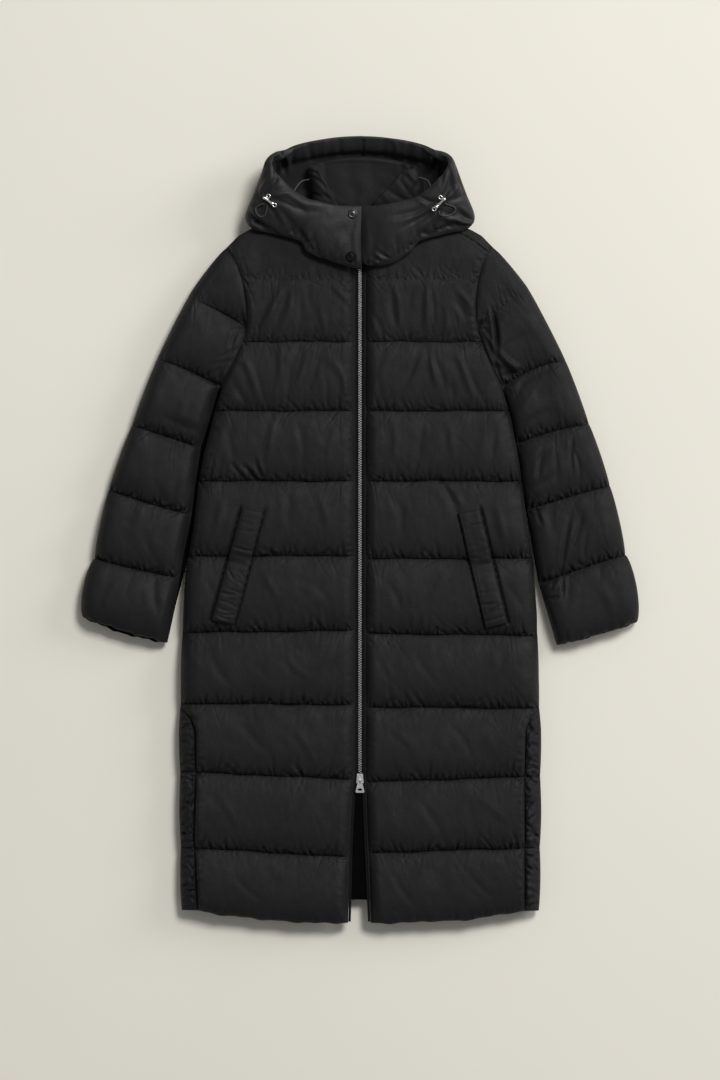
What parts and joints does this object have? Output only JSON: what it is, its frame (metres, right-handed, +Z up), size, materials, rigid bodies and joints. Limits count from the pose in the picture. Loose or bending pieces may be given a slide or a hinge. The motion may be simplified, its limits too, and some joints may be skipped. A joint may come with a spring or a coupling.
{
  "type": "long hooded puffer coat",
  "caption": "Long hooded down puffer coat, zipped up and laid flat on its back: quilted body and sleeves, stand collar inside a snapped hood, slanted pockets, vented hem.",
  "frame": {"origin": "on the ground under the middle of the coat's outline, as it lies flat", "axes": "+X across the coat to the side that lies on the right when the hood points away, +Y from the hem to the hood, +Z up off the ground"},
  "size_m": [0.9392, 1.323, 0.0836],
  "materials": {
    "shell": "smooth black nylon, soft sheen, fine puckers at the quilting",
    "zip_tape": "black woven tape, matt",
    "zip_metal": "silver zip metal, satin",
    "nickel": "bright nickel",
    "dark_metal": "dark gunmetal",
    "cord": "thin black braided cord",
    "elastic": "thin grey elastic"
  },
  "bodies": {
    "coat": {"back_panel": "shell", "front_left": "shell", "front_right": "shell", "side_strip_left": "shell", "side_strip_right": "shell", "sleeve_left_upper": "shell", "sleeve_left_under": "shell", "sleeve_right_upper": "shell", "sleeve_right_under": "shell", "collar": "shell", "hood_left": "shell", "hood_right": "shell", "pocket_welt_left": "shell", "pocket_welt_right": "shell", "zip_tape_left": "zip_tape", "zip_tape_right": "zip_tape", "zip_chain": "zip_metal", "zip_slider": "zip_metal", "snap_upper": "dark_metal", "snap_lower": "dark_metal", "toggle_left": "nickel", "toggle_right": "nickel", "toggle_cord_left": "cord", "toggle_cord_right": "cord", "collar_loop_left": "elastic", "collar_loop_right": "elastic"},
    "pull_tab": {"zip_pull": "zip_metal"}
  },
  "joints": [
    {"name": "pull_tab_swing", "type": "hinge", "parent": "coat", "child": "pull_tab", "pos_m": [0, -0.4205, 0.0341], "axis": [-1, 0, 0], "range_deg": [0, 170]}
  ]
}
